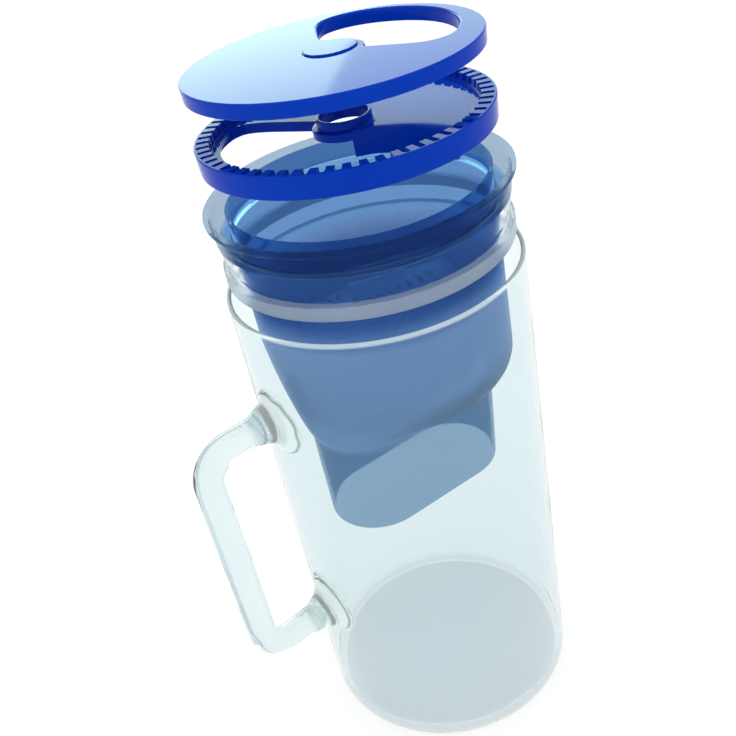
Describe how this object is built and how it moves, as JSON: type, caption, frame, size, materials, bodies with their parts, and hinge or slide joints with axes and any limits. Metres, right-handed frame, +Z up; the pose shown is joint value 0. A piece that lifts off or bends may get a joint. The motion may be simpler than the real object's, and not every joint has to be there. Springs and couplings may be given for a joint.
{
  "type": "water filter pitcher",
  "caption": "Glass filter jug with a bent glass rod handle, translucent drop-in hopper with oval cartridge socket, notched shutter ring and a turning lid with a fill opening.",
  "frame": {"origin": "middle of the jug's flat base, on the surface it stands on", "axes": "+Z up along the jug's axis, handle towards -X, long side of the oval socket along X"},
  "size_m": [0.1606, 0.12, 0.3102],
  "materials": {
    "clear_glass": "clear borosilicate, polished",
    "hopper_blue": "translucent blue, smooth",
    "clear_silicone": "clear silicone, satin",
    "gloss_blue": "royal blue, polished moulding",
    "cartridge_plastic": "pale blue-white moulding",
    "grey_silicone": "satin",
    "screen_mesh": "fine woven polymer mesh",
    "filter_grains": "loose carbon and resin grains"
  },
  "bodies": {
    "jug": {"jug_body": "clear_glass", "handle_bar": "clear_glass", "handle_pad_upper": "clear_glass", "handle_pad_lower": "clear_glass"},
    "hopper_unit": {"hopper": "hopper_blue", "hopper_gasket": "clear_silicone"},
    "ring": {"shutter_ring": "gloss_blue"},
    "pivot": {"pivot_stud": "gloss_blue", "pivot_plug": "gloss_blue"},
    "lid_disc": {"lid": "gloss_blue"},
    "cartridge": {"cartridge_shell": "cartridge_plastic", "cartridge_cap": "cartridge_plastic", "cartridge_seal": "grey_silicone", "cartridge_bottom_screen": "screen_mesh", "filter_media": "filter_grains", "cartridge_top_screen": "screen_mesh"}
  },
  "joints": [
    {"name": "hopper_lift", "type": "slide", "parent": "jug", "child": "hopper_unit", "axis": [0, 0, 1], "range_m": [-0.0334, 0]},
    {"name": "ring_lift", "type": "slide", "parent": "hopper_unit", "child": "ring", "axis": [0, 0, 1], "range_m": [-0.0202, 0]},
    {"name": "lid_lift", "type": "slide", "parent": "ring", "child": "pivot", "axis": [0, 0, 1], "range_m": [-0.0175, 0]},
    {"name": "lid_turn", "type": "hinge", "parent": "pivot", "child": "lid_disc", "pos_m": [0, 0, 0.3069], "axis": [0, 0, 1], "range_deg": [0, 180]},
    {"name": "cartridge_lift", "type": "slide", "parent": "hopper_unit", "child": "cartridge", "axis": [0, 0, 1], "range_m": [-0.036, 0]}
  ]
}
